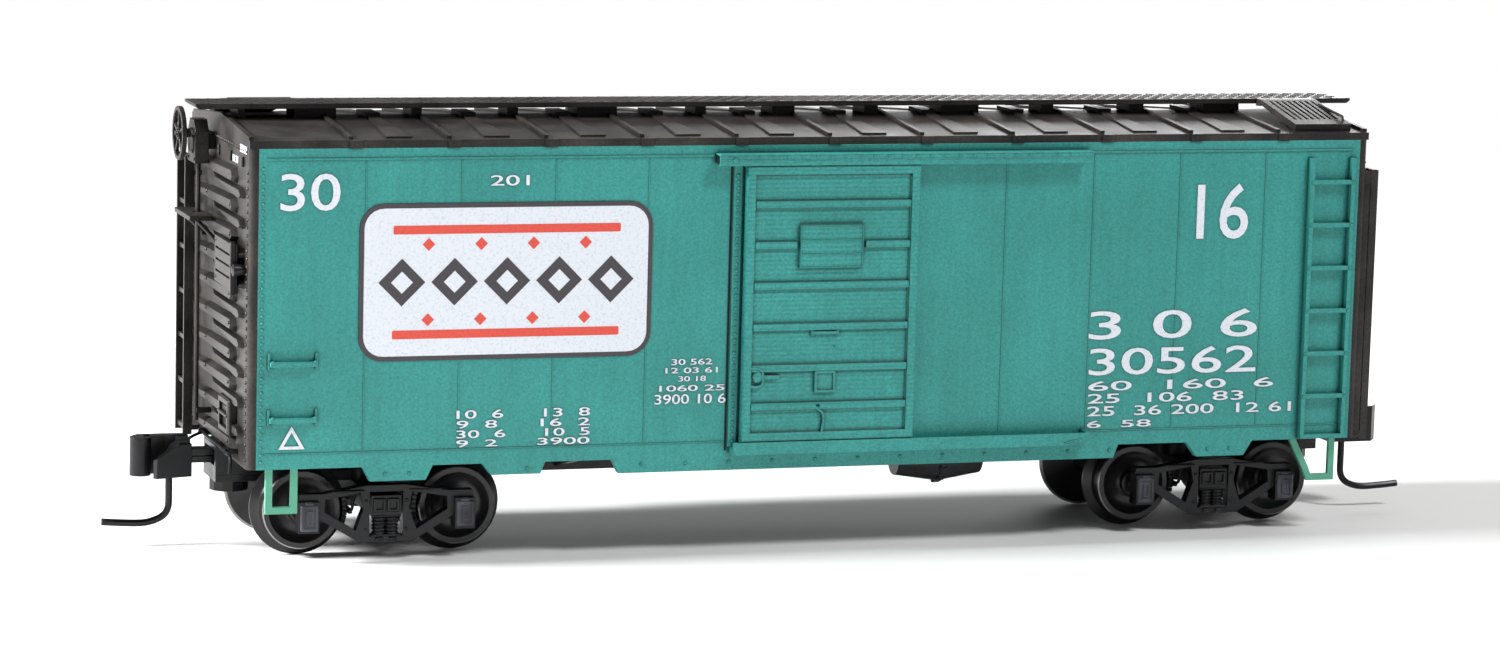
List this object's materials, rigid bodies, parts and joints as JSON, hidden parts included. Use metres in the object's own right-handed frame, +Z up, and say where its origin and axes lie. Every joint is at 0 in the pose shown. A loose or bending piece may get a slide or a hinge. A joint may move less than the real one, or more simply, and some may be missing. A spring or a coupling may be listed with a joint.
{
  "type": "model railway boxcar",
  "caption": "Small-scale model boxcar with sliding side doors, swivelling trucks, turning wheelsets and swinging knuckle couplers.",
  "frame": {"origin": "on the floor under the middle of the car, level with the bottoms of the wheel flanges", "axes": "+X along the car towards end b, the end without the hand brake; +Z up; +Y to the far side"},
  "size_m": [0.093, 0.0206, 0.0294],
  "materials": {
    "green_plastic": "satin paint",
    "black_body_plastic": "matt paint",
    "black_gear_plastic": "moulded",
    "step_plastic": "moulded",
    "ballast_steel": "plain",
    "pin_steel": "blackened"
  },
  "bodies": {
    "car": {"floor": "black_gear_plastic", "underframe": "black_gear_plastic", "ballast_plate": "ballast_steel", "side_near": "green_plastic", "side_far": "green_plastic", "end_a": "black_body_plastic", "end_b": "black_body_plastic", "roof": "black_body_plastic", "running_board": "black_body_plastic", "corner_platform_a": "black_body_plastic", "corner_platform_b": "black_body_plastic", "door_track_upper_near": "green_plastic", "door_track_upper_far": "green_plastic", "door_track_lower_near": "green_plastic", "door_track_lower_far": "green_plastic", "brake_cylinder": "black_gear_plastic", "air_reservoir": "black_gear_plastic", "brake_valve": "black_gear_plastic", "side_ladder_near": "green_plastic", "side_ladder_far": "green_plastic", "side_grab_irons_near": "green_plastic", "side_grab_irons_far": "green_plastic", "end_ladder_a": "black_body_plastic", "end_ladder_b": "black_body_plastic", "step_near_a": "step_plastic", "step_near_b": "step_plastic", "step_far_a": "step_plastic", "step_far_b": "step_plastic", "brake_wheel": "black_body_plastic", "brake_housing": "black_body_plastic", "brake_platform": "black_body_plastic", "placard_board_a": "black_body_plastic", "placard_board_b": "black_body_plastic", "truck_pin_a": "black_gear_plastic", "truck_pin_b": "black_gear_plastic"},
    "door_near": {"door_near": "green_plastic"},
    "door_far": {"door_far": "green_plastic"},
    "truck_a": {"truck_frame_a": "black_gear_plastic", "coupler_pocket_a": "black_gear_plastic", "pocket_lid_a": "black_gear_plastic"},
    "coupler_a": {"coupler_guard_a": "black_gear_plastic"},
    "knuckle_a": {"coupler_knuckle_a": "black_gear_plastic", "trip_pin_a": "pin_steel"},
    "wheelset_a1": {"wheelset_a1": "black_gear_plastic"},
    "wheelset_a2": {"wheelset_a2": "black_gear_plastic"},
    "truck_b": {"truck_frame_b": "black_gear_plastic", "coupler_pocket_b": "black_gear_plastic", "pocket_lid_b": "black_gear_plastic"},
    "coupler_b": {"coupler_guard_b": "black_gear_plastic"},
    "knuckle_b": {"coupler_knuckle_b": "black_gear_plastic", "trip_pin_b": "pin_steel"},
    "wheelset_b1": {"wheelset_b1": "black_gear_plastic"},
    "wheelset_b2": {"wheelset_b2": "black_gear_plastic"}
  },
  "joints": [
    {"name": "door_near_slide", "type": "slide", "parent": "car", "child": "door_near", "axis": [1, 0, 0], "range_m": [0, 0.0118]},
    {"name": "door_far_slide", "type": "slide", "parent": "car", "child": "door_far", "axis": [-1, 0, 0], "range_m": [0, 0.0118]},
    {"name": "truck_a_swivel", "type": "hinge", "parent": "car", "child": "truck_a", "pos_m": [-0.0293, 0, 0.0052], "axis": [0, 0, 1], "range_deg": [-12, 12]},
    {"name": "wheelset_a1_spin", "type": "hinge", "parent": "truck_a", "child": "wheelset_a1", "pos_m": [-0.03451, 0, 0.0032], "axis": [0, 1, 0], "continuous": true},
    {"name": "wheelset_a2_spin", "type": "hinge", "parent": "truck_a", "child": "wheelset_a2", "pos_m": [-0.02409, 0, 0.0032], "axis": [0, 1, 0], "continuous": true},
    {"name": "coupler_a_swing", "type": "hinge", "parent": "truck_a", "child": "coupler_a", "pos_m": [-0.03715, 0, 0.0061], "axis": [0, 0, 1], "range_deg": [-10, 10], "stiffness_Nm_per_rad": 0.00001},
    {"name": "knuckle_a_open", "type": "hinge", "parent": "coupler_a", "child": "knuckle_a", "pos_m": [-0.03715, 0, 0.0061], "axis": [0, 0, -1], "range_deg": [0, 8], "stiffness_Nm_per_rad": 0.00001},
    {"name": "truck_b_swivel", "type": "hinge", "parent": "car", "child": "truck_b", "pos_m": [0.0293, 0, 0.0052], "axis": [0, 0, 1], "range_deg": [-12, 12]},
    {"name": "wheelset_b1_spin", "type": "hinge", "parent": "truck_b", "child": "wheelset_b1", "pos_m": [0.02409, 0, 0.0032], "axis": [0, 1, 0], "continuous": true},
    {"name": "wheelset_b2_spin", "type": "hinge", "parent": "truck_b", "child": "wheelset_b2", "pos_m": [0.03451, 0, 0.0032], "axis": [0, 1, 0], "continuous": true},
    {"name": "coupler_b_swing", "type": "hinge", "parent": "truck_b", "child": "coupler_b", "pos_m": [0.03715, 0, 0.0061], "axis": [0, 0, 1], "range_deg": [-10, 10], "stiffness_Nm_per_rad": 0.00001},
    {"name": "knuckle_b_open", "type": "hinge", "parent": "coupler_b", "child": "knuckle_b", "pos_m": [0.03715, 0, 0.0061], "axis": [0, 0, -1], "range_deg": [0, 8], "stiffness_Nm_per_rad": 0.00001}
  ]
}
